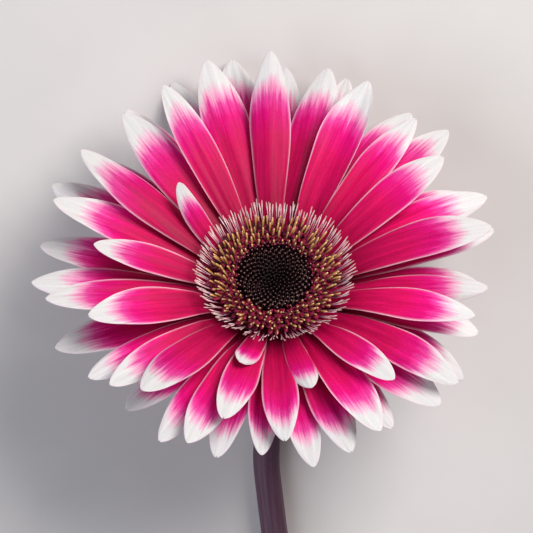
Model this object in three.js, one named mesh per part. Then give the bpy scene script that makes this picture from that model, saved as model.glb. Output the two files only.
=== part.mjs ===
// Cut gerbera: one open bloom on its stem, lying on a flat surface.
// Millimetres, +Z up. The stem lies along +Y and the face of the bloom leans towards -Y.
// The origin is at the middle of the flower's box, on the surface that it lies on.
import * as THREE from 'three';

// ---- Driving dimensions ----
const GAP = 0.3;                 // clearance left between pieces that grow from each other
const SLANTED_GAP = 0.4;         // the same between walls that lean, measured level

const FACE_LEAN = 35;            // degrees from straight up to the way the face looks

const PETALS_PER_ROW = 13;
const PETAL_LENGTH = 43;
const PETAL_WIDTH = 9.7;
const PETAL_THICKNESS = 0.55;
const CLAW_WIDTH = 3;            // the narrow foot of a petal
const TIP_WIDTH = 2;           // the blunt end of a petal
const PETAL_ARCH = 0.08;         // fall of a petal's edges, per width
const ROW_PITCH = 1.15;          // one row of petals below the next, at the receptacle

const EYE_RADIUS = 9;
const EYE_HEIGHT = 4.4;
const DISC_FOOT = 1.6;           // where the disc florets stand on the receptacle
const DISC_BAND = 6;             // width of the ring that their open tops fill
const DISC_HEIGHT = 8;
const OUTER_FOOT = 1;
const OUTER_BAND = 4.4;
const OUTER_HEIGHT = 7.8;

const RECEPTACLE_DEPTH = 14.5;
const BRACT_THICKNESS = 1.6;      // all the rows of bracts together
const BRACT_FLARE = 5;           // how far the bracts stand out past the receptacle

const STEM_LENGTH = 300;         // from the receptacle to the cut
const STEM_RADIUS = 3.35;

// ---- How the petals grow ----
// Rows run from front to back. Each opens flatter than the row in front of it.
const ROW_RISE = [34, 28, 22, 16, 10];
const ROW_START = [0, 10, 24, 17, 31];
const ROW_LENGTH_CHANGE = [0, -1, 0, 1, 0];

// The bloom curls back most on its lower right and least on its upper left. A short petal
// is narrower too, and has grown through less of its curl.
const CURL_MEAN = 24;
const CURL_SWING = 14;
const CURL_TOWARDS = -30;
const CURL_EASE = 1.6;           // above 1, most of the curl is near the tip
// It reaches furthest at its top, and the rows behind more so.
const REACH_SWING = [0, 5, 6.5, 8, 9.5];
const REACH_TOWARDS = 100;

// Small differences from petal to petal, taken in turn round each row. A petal turns aside by a
// share of the free angle between neighbours, so wider petals stand more evenly, and less in
// each row behind.
const TURN_SHARES = [-0.4, -0.4, -0.2, -0.3, 0.3, 0.4, -0.3, 0, -0.1, -0.2, 0.2, -0.2, -0.4];
const LENGTH_CHANGES = [1, -2, 0, 2, -1, 1, -3, 0, 2, -1, 1, -2, 0];
const SWEEP_CHANGES = [3, -4, 2, 5, -2, -5, 4, 0, -3, 4, -4, 2, -1];
const CURL_CHANGES = [0, 2, -1, -3, 1, 3, -2, 0, 2, -2, 1, -1, 3];
const TWIST_CHANGES = [4, -5, 2, 6, -3, 0, 5, -6, 3, -2, 6, -4, 1];
const WIDTH_CHANGES = [1.4, 0, -0.4, -0.6, -0.5, 0.6, 0.1, 0.9, -0.3, -1.2, -0.3, -1.2, 0.6];
const CHANGE_SHIFT = 5;          // each row starts this far along the lists

// The front row is cut short round its lower side, going round from the right.
const FRONT_ROW_SHORTENING = [0, 0, 0, 0, 0, 0, 7, 4, 3, 3, 15, 9, 0];

// Two stunted petals stand in front of the rest.
const STUNTED_PETALS = [
  { name: 'petal_hooked', azimuth: 146, length: 24, width: 5.4, curl: -6, sweep: -26, twist: 10 },
  { name: 'petal_tucked', azimuth: 256, length: 17, width: 5.8, curl: 10, sweep: -14, twist: -12 },
];

// The lowest petals lie on the surface, bent up to the height of the last of them.
const RESTING_PETALS = 3;

// Sideways place of the stem where it lies flat: [share of that length, sideways].
const STEM_SWAY = [
  [0, 1.9], [0.03, 1.1], [0.09, -0.8], [0.15, -2.7], [0.22, -5], [0.42, -12], [0.65, -18], [1, -22],
];

// ---- Worked-out sizes ----
const radians = THREE.MathUtils.degToRad;
const floretFoot = 4 * GAP;      // height of the florets' feet over the front row's petals
const receptacleTop = floretFoot - GAP;
const discFootInner = EYE_RADIUS + GAP;
const discFootOuter = discFootInner + DISC_FOOT;
const outerFootInner = discFootOuter + SLANTED_GAP;
const outerFootOuter = outerFootInner + OUTER_FOOT;
const discRadius = EYE_RADIUS + DISC_BAND;
const outerRadius = discRadius + OUTER_BAND;
const receptacleRadius = outerFootInner;
const petalRoot = receptacleRadius + 1.5 * GAP;
const petalRows = ROW_RISE.length;
const shoulder = -petalRows * ROW_PITCH - 1;
const receptacleEnd = receptacleTop - RECEPTACLE_DEPTH;
const neckRadius = STEM_RADIUS + 2 * GAP;

// ---- Materials ----
function growth(color, roughness) {
  return new THREE.MeshStandardMaterial({ color, roughness, metalness: 0 });
}
const petalSkin = growth('#c21a52', 0.55);
const eyeSkin = growth('#1c080d', 0.6);
const discSkin = growth('#6b1a24', 0.6);
const stalkSkin = growth('#d8b3ae', 0.55);
const receptacleFlesh = growth('#8fa05a', 0.6);
const bractSkin = growth('#4f6a34', 0.6);
const stemSkin = growth('#4f3444', 0.5);

function named(name, geometry, material) {
  const mesh = new THREE.Mesh(geometry, material);
  mesh.name = name;
  return mesh;
}

// ---- Petals ----
const STEPS_ALONG = 7;
const STEPS_ACROSS = 4;
const WIDEST = 0.62;             // where along its length a petal is widest
const CROWDED_AT = 0.25;         // where along their length neighbours stand closest
const CURL_STEP = 0.25;          // degrees taken off at a time to rest a petal on the surface

// Width along a petal, from 0 at the claw to 1 at the tip.
function petalWidth(along, fullWidth) {
  if (along < WIDEST) {
    const left = 1 - along / WIDEST;
    return THREE.MathUtils.lerp(fullWidth, CLAW_WIDTH, left ** 1.5);
  }
  const past = (along - WIDEST) / (1 - WIDEST);
  return THREE.MathUtils.lerp(TIP_WIDTH, fullWidth, (1 - past ** 2.2) ** 0.6);
}

// The middle line of a petal, with its sideways direction and the way its upper face looks.
function petalFrames(petal) {
  const fine = 8;
  const step = petal.length / (STEPS_ALONG * fine);
  const start = radians(petal.azimuth);
  const place = new THREE.Vector3(Math.cos(start), Math.sin(start), 0).multiplyScalar(petalRoot);
  place.z = -petal.row * ROW_PITCH;
  const frames = [];
  for (let i = 0; i <= STEPS_ALONG * fine; i += 1) {
    const along = i / (STEPS_ALONG * fine);
    const lift = radians(petal.rise - petal.curl * along ** CURL_EASE);
    const heading = radians(petal.azimuth + petal.sweep * along);
    const forward = new THREE.Vector3(
      Math.cos(lift) * Math.cos(heading), Math.cos(lift) * Math.sin(heading), Math.sin(lift));
    if (i % fine === 0) {
      const side = new THREE.Vector3(-Math.sin(heading), Math.cos(heading), 0);
      side.applyAxisAngle(forward, radians(petal.twist * along));
      const up = new THREE.Vector3().crossVectors(forward, side);
      frames.push({ along, side, up, place: place.clone() });
    }
    place.addScaledVector(forward, step);
  }
  return frames;
}

// A flat strip bent to the petal's middle line, arched across and drawn in at both ends.
function petalMesh(petal) {
  const frames = petalFrames(petal);
  const geometry = new THREE.BoxGeometry(1, 2, 1, STEPS_ALONG, STEPS_ACROSS, 1);
  const points = geometry.attributes.position;
  const point = new THREE.Vector3();
  for (let i = 0; i < points.count; i += 1) {
    point.fromBufferAttribute(points, i);
    const frame = frames[Math.round((point.x + 0.5) * STEPS_ALONG)];
    const width = petalWidth(frame.along, petal.width);
    const fall = PETAL_ARCH * width * point.y ** 2;
    const height = point.z * PETAL_THICKNESS - fall;
    const bent = frame.place.clone();
    bent.addScaledVector(frame.side, point.y * width / 2);
    bent.addScaledVector(frame.up, height);
    points.setXYZ(i, bent.x, bent.y, bent.z);
  }
  geometry.computeVertexNormals();
  return named(petal.name, geometry, petalSkin);
}

// The angle left between neighbours of a row where they stand closest.
function freeAngle() {
  const radius = petalRoot + CROWDED_AT * PETAL_LENGTH;
  const filled = petalWidth(CROWDED_AT, PETAL_WIDTH) / radius;
  return 360 / PETALS_PER_ROW - THREE.MathUtils.radToDeg(filled);
}

function rowPetal(row, index) {
  const turn = (index + row * CHANGE_SHIFT) % PETALS_PER_ROW;
  const aside = TURN_SHARES[turn] * freeAngle() / row;
  const azimuth = ROW_START[row] + index * 360 / PETALS_PER_ROW + aside;
  const reach = REACH_SWING[row] * Math.cos(radians(azimuth - REACH_TOWARDS));
  const shortening = row === 1 ? FRONT_ROW_SHORTENING[index] : 0;
  const length = PETAL_LENGTH + ROW_LENGTH_CHANGE[row] + LENGTH_CHANGES[turn] + reach - shortening;
  const curl = CURL_MEAN + CURL_SWING * Math.cos(radians(azimuth - CURL_TOWARDS));
  return {
    row,
    azimuth,
    rise: ROW_RISE[row],
    length,
    width: (PETAL_WIDTH + WIDTH_CHANGES[turn]) * Math.sqrt(length / PETAL_LENGTH),
    curl: (curl + CURL_CHANGES[turn]) * length / PETAL_LENGTH,
    sweep: SWEEP_CHANGES[turn],
    twist: TWIST_CHANGES[turn],
  };
}

// How high a petal's tip is above the middle of the head, with the head at its lean.
function tipHeight(petal) {
  const tip = petalFrames(petal).at(-1).place;
  return tip.z * Math.cos(radians(FACE_LEAN)) - tip.y * Math.sin(radians(FACE_LEAN));
}

// Less curl brings the tips that hang lowest up to one height.
function restOnSurface(all) {
  const lowest = [...all].sort((a, b) => tipHeight(a) - tipHeight(b)).slice(0, RESTING_PETALS);
  const surface = tipHeight(lowest.at(-1));
  for (const petal of lowest) {
    while (tipHeight(petal) < surface) petal.curl -= CURL_STEP;
  }
}

function petals() {
  const all = STUNTED_PETALS.map((petal) => ({ row: 0, rise: ROW_RISE[0], ...petal }));
  for (let row = 1; row < petalRows; row += 1) {
    for (let index = 0; index < PETALS_PER_ROW; index += 1) {
      const place = String(index + 1).padStart(2, '0');
      all.push({ name: `petal_row${row}_${place}`, ...rowPetal(row, index) });
    }
  }
  restOnSurface(all);
  return all.map(petalMesh);
}

// ---- Disc, receptacle and bracts: all turned about the axis of the bloom ----
// Profile points are [radius, height] and run anticlockwise round the section.
function turned(name, profile, material) {
  const outline = profile.map(([radius, height]) => new THREE.Vector2(radius, height));
  const geometry = new THREE.LatheGeometry(outline, 40);
  geometry.rotateX(Math.PI / 2);
  return named(name, geometry, material);
}

// The unopened florets make a low cushion.
function discEye() {
  const edge = floretFoot + EYE_HEIGHT;
  return turned('disc_eye', [
    [0, floretFoot], [EYE_RADIUS, floretFoot], [EYE_RADIUS, edge - 1],
    [EYE_RADIUS * 0.9, edge], [EYE_RADIUS * 0.5, edge - 0.2], [0, edge - 0.5],
  ], eyeSkin);
}

// The open florets lean outwards round it and stand higher than it does.
function discFlorets() {
  const crest = floretFoot + DISC_HEIGHT;
  const inside = discFootInner + 0.5;
  return turned('disc_florets', [
    [discFootInner, floretFoot], [discFootOuter, floretFoot], [discRadius, crest - 1.2],
    [discRadius - DISC_BAND * 0.3, crest], [inside, crest - 2],
    [discFootInner, floretFoot + EYE_HEIGHT - 1], [discFootInner, floretFoot],
  ], discSkin);
}

// The outermost florets stand on pale stalks and lean out over the petals.
function outerFlorets() {
  const crest = floretFoot + OUTER_HEIGHT;
  return turned('outer_florets', [
    [outerFootInner, floretFoot], [outerFootOuter, floretFoot], [outerRadius, crest - 1],
    [outerRadius - OUTER_BAND * 0.3, crest + 0.4],
    [discRadius + SLANTED_GAP, floretFoot + DISC_HEIGHT - 1.2], [outerFootInner, floretFoot],
  ], stalkSkin);
}

function receptacle() {
  return turned('receptacle', [
    [0, receptacleEnd], [STEM_RADIUS, receptacleEnd], [receptacleRadius - 0.3, shoulder - 1],
    [receptacleRadius, shoulder], [receptacleRadius, receptacleTop], [0, receptacleTop],
  ], receptacleFlesh);
}

// The rows of bracts are one cup that hugs the receptacle and flares at its rim.
function bracts() {
  const inner = GAP * 1.5;
  const outer = inner + BRACT_THICKNESS;
  const low = receptacleEnd + GAP;
  const waist = shoulder - 2.8;
  const rimRadius = receptacleRadius + BRACT_FLARE;
  const rimHeight = shoulder - 0.9;
  return turned('bracts', [
    [neckRadius + inner, low], [neckRadius + outer, low],
    [receptacleRadius + outer, waist], [rimRadius, rimHeight - BRACT_THICKNESS],
    [rimRadius, rimHeight], [receptacleRadius + inner, waist + BRACT_THICKNESS],
    [neckRadius + inner, low],
  ], bractSkin);
}

// ---- The head: its +Z is the way the bloom faces and its +Y is the top of the bloom ----
function bloom() {
  const head = new THREE.Group();
  head.add(...petals(), discEye(), discFlorets(), outerFlorets(), receptacle(), bracts());
  head.rotation.set(radians(FACE_LEAN), 0, Math.PI);
  head.updateMatrixWorld(true);
  head.position.z = -new THREE.Box3().setFromObject(head, true).min.z;
  return head;
}

// ---- The stem: it bends at the neck and then lies along the surface ----
function stem(headHeight) {
  const drop = radians(90 - FACE_LEAN);
  const reach = 2 * GAP - receptacleEnd;
  const startY = reach * Math.cos(drop);
  const startZ = headHeight - reach * Math.sin(drop);
  const bend = (startZ - STEM_RADIUS) / (1 - Math.cos(drop));
  const points = [];
  const bendSteps = 8;
  for (let i = 0; i < bendSteps; i += 1) {
    const slope = drop * (1 - i / bendSteps);
    const y = startY + bend * (Math.sin(drop) - Math.sin(slope));
    const z = STEM_RADIUS + bend * (1 - Math.cos(slope));
    const sideways = STEM_SWAY[0][1] * (1 - Math.cos(Math.PI * i / bendSteps)) / 2;
    points.push(new THREE.Vector3(sideways, y, z));
  }
  const flatStart = startY + bend * Math.sin(drop);
  const flatLength = STEM_LENGTH - bend * drop;
  for (const [share, sideways] of STEM_SWAY) {
    points.push(new THREE.Vector3(sideways, flatStart + share * flatLength, STEM_RADIUS));
  }
  const path = new THREE.CatmullRomCurve3(points);
  const section = new THREE.Shape();
  section.absarc(0, 0, STEM_RADIUS, 0, 2 * Math.PI);
  const geometry = new THREE.ExtrudeGeometry(section, { extrudePath: path, steps: 44, curveSegments: 7 });
  return named('stem', geometry, stemSkin);
}

const flower = new THREE.Group();
const head = bloom();
flower.add(head, stem(head.position.z));
flower.updateMatrixWorld(true);
const box = new THREE.Box3().setFromObject(flower, true);
const middle = box.getCenter(new THREE.Vector3());
flower.position.set(-middle.x, -middle.y, -box.min.z);
flower.updateMatrixWorld(true);

export default flower;
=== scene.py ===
import math
import random

import bpy
import numpy as np
from mathutils import Matrix, Vector


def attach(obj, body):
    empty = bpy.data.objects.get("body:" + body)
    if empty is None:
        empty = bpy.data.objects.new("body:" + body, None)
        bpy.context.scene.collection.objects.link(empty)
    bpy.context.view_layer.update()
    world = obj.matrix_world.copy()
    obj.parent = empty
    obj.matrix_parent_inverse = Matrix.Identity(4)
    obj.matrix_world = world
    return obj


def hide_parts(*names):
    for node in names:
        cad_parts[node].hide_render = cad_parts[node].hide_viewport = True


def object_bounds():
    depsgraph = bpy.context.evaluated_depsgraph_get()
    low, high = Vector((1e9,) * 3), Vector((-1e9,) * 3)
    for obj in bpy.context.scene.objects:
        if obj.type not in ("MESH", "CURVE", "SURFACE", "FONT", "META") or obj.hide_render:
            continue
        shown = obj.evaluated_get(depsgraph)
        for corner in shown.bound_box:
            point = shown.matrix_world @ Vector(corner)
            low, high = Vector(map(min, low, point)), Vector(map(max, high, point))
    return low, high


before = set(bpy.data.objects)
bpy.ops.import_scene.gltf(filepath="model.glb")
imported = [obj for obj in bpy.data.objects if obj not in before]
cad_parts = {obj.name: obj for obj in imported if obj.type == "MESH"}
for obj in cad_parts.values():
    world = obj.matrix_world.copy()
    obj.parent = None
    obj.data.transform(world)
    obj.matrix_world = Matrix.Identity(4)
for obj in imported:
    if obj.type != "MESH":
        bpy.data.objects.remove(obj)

cad_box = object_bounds()
MM = 0.001
rng = random.Random(13)

# ---- The bloom's sizes as the CAD model has them: millimetres, degrees and shares of a length ----
FACE_LEAN = math.radians(35)     # from straight up to the way the face looks
PETALS_PER_ROW = 13
PETAL_LENGTH = 43
PETAL_WIDTH = 9.7
CLAW_WIDTH = 3                   # the narrow foot of a petal
PETAL_ARCH = 0.08                # fall of a petal's edges, per width
ROW_PITCH = 1.15                 # one row of petals below the next
WIDEST = 0.62                    # where along its length a petal is widest
CROWDED_AT = 0.25                # where along their length neighbours stand closest
CAD_STEPS = 56                   # steps that the CAD model takes along a petal

# Rows run from front to back. Each opens flatter than the row in front of it.
ROW_RISE = [34, 28, 22, 16, 10]
ROW_START = [0, 10, 24, 17, 31]
ROW_LENGTH_CHANGE = [0, -1, 0, 1, 0]

# The bloom curls back most on its lower right, and reaches furthest at its top.
CURL_MEAN = 24
CURL_SWING = 14
CURL_TOWARDS = -30
CURL_EASE = 1.6                  # above 1, most of the curl is near the tip
REACH_SWING = [0, 5, 6.5, 8, 9.5]
REACH_TOWARDS = 100

# Small differences from petal to petal, taken in turn round each row.
TURN_SHARES = [-0.4, -0.4, -0.2, -0.3, 0.3, 0.4, -0.3, 0, -0.1, -0.2, 0.2, -0.2, -0.4]
LENGTH_CHANGES = [1, -2, 0, 2, -1, 1, -3, 0, 2, -1, 1, -2, 0]
SWEEP_CHANGES = [3, -4, 2, 5, -2, -5, 4, 0, -3, 4, -4, 2, -1]
CURL_CHANGES = [0, 2, -1, -3, 1, 3, -2, 0, 2, -2, 1, -1, 3]
TWIST_CHANGES = [4, -5, 2, 6, -3, 0, 5, -6, 3, -2, 6, -4, 1]
WIDTH_CHANGES = [1.4, 0, -0.4, -0.6, -0.5, 0.6, 0.1, 0.9, -0.3, -1.2, -0.3, -1.2, 0.6]
CHANGE_SHIFT = 5                 # each row starts this far along the lists

# The front row is short round its lower side, and two stunted petals stand in front of it.
FRONT_ROW_SHORTENING = [0, 0, 0, 0, 0, 0, 7, 4, 3, 3, 15, 9, 0]
STUNTED_PETALS = [
    dict(name="petal_hooked", azimuth=146, length=24, width=5.4, curl=-6, sweep=-26, twist=10),
    dict(name="petal_tucked", azimuth=256, length=17, width=5.8, curl=10, sweep=-14, twist=-12),
]

# The lowest petals lie on the surface: their curl is eased a step at a time until they do.
RESTING_PETALS = 3
CURL_STEP = 0.25

GAP = 0.3                        # between pieces that grow from each other
SLANTED_GAP = 0.4                # the same between walls that lean
EYE_RADIUS = 9
EYE_HEIGHT = 4.4
DISC_FOOT = 1.6
DISC_BAND = 6
RECEPTACLE_DEPTH = 14.5
STEM_RADIUS = 3.35

floret_foot = 4 * GAP
receptacle_top = floret_foot - GAP
outer_foot_inner = EYE_RADIUS + GAP + DISC_FOOT + SLANTED_GAP
disc_radius = EYE_RADIUS + DISC_BAND
receptacle_radius = outer_foot_inner
petal_root = receptacle_radius + 1.5 * GAP
shoulder = -len(ROW_RISE) * ROW_PITCH - 1
receptacle_end = receptacle_top - RECEPTACLE_DEPTH

# ---- The head's own directions: sideways, to the top of the bloom, and the way it faces ----
SIDE = np.array([-1.0, 0.0, 0.0])
TOP = np.array([0.0, -math.cos(FACE_LEAN), -math.sin(FACE_LEAN)])
FACE = np.array([0.0, -math.sin(FACE_LEAN), math.cos(FACE_LEAN)])
HEAD_AXES = np.array([SIDE, TOP, FACE])


def head_centre():
    """The middle of the head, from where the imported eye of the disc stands."""
    eye = np.array([v.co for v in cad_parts["disc_eye"].data.vertices])
    own = eye @ HEAD_AXES.T
    low, high = own.min(0), own.max(0)
    middle = (low + high) / 2
    middle[2] = low[2] - floret_foot * MM
    return middle @ HEAD_AXES


HEAD = head_centre()


def from_head(points):
    """Points in the head's own millimetres, as points of the frame in metres."""
    return np.asarray(points, float) * MM @ HEAD_AXES + HEAD


# ---- Mesh pieces ----
def finished(name, points, faces, material, node_names, values):
    """A smooth piece on the root body that stands for its CAD nodes, with values kept at each point."""
    mesh = bpy.data.meshes.new(name)
    mesh.from_pydata([tuple(p) for p in points], [], faces)
    for key, numbers in values.items():
        numbers = np.asarray(numbers, np.float32)
        kind, field = ("FLOAT", "value") if numbers.ndim == 1 else ("FLOAT_VECTOR", "vector")
        mesh.attributes.new(key, kind, "POINT").data.foreach_set(field, numbers.ravel())
    mesh.materials.append(material)
    mesh.shade_smooth()
    mesh.update()
    piece = bpy.data.objects.new(name, mesh)
    bpy.context.scene.collection.objects.link(piece)
    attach(piece, "root")
    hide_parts(*node_names)


# Section of a pointed scale: places across it, how far each falls, and its share of the thickness.
SCALE_SECTION = [(-1, 0.30, 0.0), (-0.55, 0.08, 0.7), (0, 0.12, 1.0), (0.55, 0.08, 0.7), (1, 0.30, 0.0)]
SCALE_HOLLOW = 0.02              # the underside is this much less hollow


class Bundle:
    """Many small closed shapes gathered into one mesh, with values kept at each point."""

    def __init__(self):
        self.points = []
        self.faces = []
        self.values = {"along": [], "tone": []}

    def close(self, first, sides, shares, tone):
        """Joins rings of points, one for each share of the length, and caps both ends."""
        rings = len(shares)
        for i in range(rings - 1):
            for k in range(sides):
                a = first + i * sides + k
                b = first + i * sides + (k + 1) % sides
                self.faces.append((a, b, b + sides, a + sides))
        self.faces.append(tuple(first + k for k in reversed(range(sides))))
        self.faces.append(tuple(first + (rings - 1) * sides + k for k in range(sides)))
        self.values["along"] += [share for share in shares for _ in range(sides)]
        self.values["tone"] += [tone] * (rings * sides)

    def tube(self, line, radii, tone, sides=6, along=None):
        """A round closed tube along a line of points, pointed or blunt as its radii say."""
        line = np.asarray(line, float)
        ways = np.gradient(line, axis=0)
        ways /= np.linalg.norm(ways, axis=1)[:, None]
        start = np.array([0.0, 0.0, 1.0])
        if abs(ways[0] @ start) > 0.9:
            start = np.array([1.0, 0.0, 0.0])
        first = len(self.points)
        across = np.cross(ways[0], start)
        for i, point in enumerate(line):
            across = across - ways[i] * (across @ ways[i])
            across /= np.linalg.norm(across)
            other = np.cross(ways[i], across)
            for k in range(sides):
                turn = 2 * math.pi * k / sides
                self.points.append(point + radii[i] * (math.cos(turn) * across + math.sin(turn) * other))
        self.close(first, sides, np.linspace(0, 1, len(line)) if along is None else along, tone)

    def strap(self, line, across, widths, thickness, tone):
        """A flat closed strap along a line, as wide as its widths say."""
        line = np.asarray(line, float)
        ways = np.gradient(line, axis=0)
        first = len(self.points)
        for i, point in enumerate(line):
            up = np.cross(ways[i], across)
            up /= np.linalg.norm(up)
            for side, rise in ((-1, -1), (1, -1), (1, 1), (-1, 1)):
                self.points.append(point + across * side * widths[i] / 2 + up * rise * thickness / 2)
        self.close(first, 4, np.linspace(0, 1, len(line)), tone)

    def leaf(self, line, across, widths, thickness, tone):
        """A pointed scale along a line: hollowed across, thin at its edges, with a raised midrib."""
        line = np.asarray(line, float)
        ways = np.gradient(line, axis=0)
        first = len(self.points)
        underside = [(u, fall - SCALE_HOLLOW, -thick) for u, fall, thick in reversed(SCALE_SECTION[1:-1])]
        section = SCALE_SECTION + underside
        for i, point in enumerate(line):
            up = np.cross(ways[i], across)
            up /= np.linalg.norm(up)
            for u, fall, thick in section:
                height = -fall * widths[i] * 0.5 + thick * thickness / 2
                self.points.append(point + across * u * widths[i] / 2 + up * height)
        self.close(first, len(section), np.linspace(0, 1, len(line)), tone)

    def turned(self, profile, sides, tone):
        """A closed shape turned about the head's axis: its profile starts and ends on the axis."""
        first = len(self.points)
        self.points.append(np.array([0, 0, profile[0][1]]))
        for radius, height in profile[1:-1]:
            for k in range(sides):
                turn = 2 * math.pi * k / sides
                self.points.append(np.array([radius * math.cos(turn), radius * math.sin(turn), height]))
        self.points.append(np.array([0, 0, profile[-1][1]]))
        last = len(self.points) - 1
        rings = len(profile) - 2
        for k in range(sides):
            after = (k + 1) % sides
            self.faces.append((first, first + 1 + after, first + 1 + k))
            for i in range(rings - 1):
                a = first + 1 + i * sides
                self.faces.append((a + k, a + after, a + sides + after, a + sides + k))
            a = first + 1 + (rings - 1) * sides
            self.faces.append((a + k, a + after, last))
        low, high = min(z for _, z in profile), max(z for _, z in profile)
        climbs = [(z - low) / (high - low) for _, z in profile]
        self.values["along"] += [climbs[0], *[c for c in climbs[1:-1] for _ in range(sides)], climbs[-1]]
        self.values["tone"] += [tone] * (rings * sides + 2)

    def piece(self, name, material, node_names, slot):
        finished(name, from_head(self.points), self.faces, material, node_names, self.values)


# ---- Materials ----
def linear(hex_colour):
    """An sRGB hex colour as the linear values that a shader takes."""
    channels = [int(hex_colour[i:i + 2], 16) / 255 for i in (1, 3, 5)]
    return (*[c / 12.92 if c <= 0.04045 else ((c + 0.055) / 1.055) ** 2.4 for c in channels], 1)


def new_material(name):
    made = bpy.data.materials.new(name)
    made.use_nodes = True
    return made, made.node_tree.nodes["Principled BSDF"]


def add(made, kind, inputs=None, stops=None, **settings):
    """Adds a node: its settings, what its sockets hold or are linked to, and a ramp's stops."""
    node = made.node_tree.nodes.new(kind)
    for key, value in settings.items():
        setattr(node, key, value)
    for key, value in (inputs or {}).items():
        if isinstance(value, bpy.types.NodeSocket):
            made.node_tree.links.new(value, node.inputs[key])
        else:
            node.inputs[key].default_value = value
    if stops:
        while len(node.color_ramp.elements) < len(stops):
            node.color_ramp.elements.new(0.5)
        for element, (place, colour) in zip(node.color_ramp.elements, stops):
            element.position = place
            element.color = linear(colour)
    return node.outputs


def into(made, shader, **sources):
    """Links what has been made into the shader's sockets: base_color="..." goes to Base Color."""
    for key, source in sources.items():
        made.node_tree.links.new(source, shader.inputs[key.replace("_", " ").title()])


# The patterns on a petal, in millimetres: how far apart they stand and how far each runs.
VEIN_PITCH = 0.45
VEIN_RUN = 9
STREAK_PITCH = 1.7
STREAK_RUN = 12
MAIN_VEIN_PITCH = 2.2
MAIN_VEIN_RUN = 160
WAVE_BAND = 0.314                # one band of the wave texture, 2 pi / 20 of its own unit
CELL_GRAIN = 0.25                # cells are 0.05 mm across, and this is the finest that shows
VEIN_RELIEF = 0.08
CELL_RELIEF = 0.05

# Crimson at the claw, magenta where the colour gives out, then the white tip.
PETAL_STOPS = [(0.0, "#6e0224"), (0.25, "#a80744"), (0.55, "#c60c58"), (0.69, "#d20e76"),
               (0.76, "#d94298"), (0.82, "#e2a2c3"), (0.88, "#d5d8da")]
PETAL_BACK_STOPS = [(0.0, "#b4577e"), (0.5, "#c66c96"), (0.78, "#e0a8c4"), (0.88, "#f0e2e6")]
PETAL_RIM = "#f2c8dc"


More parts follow.
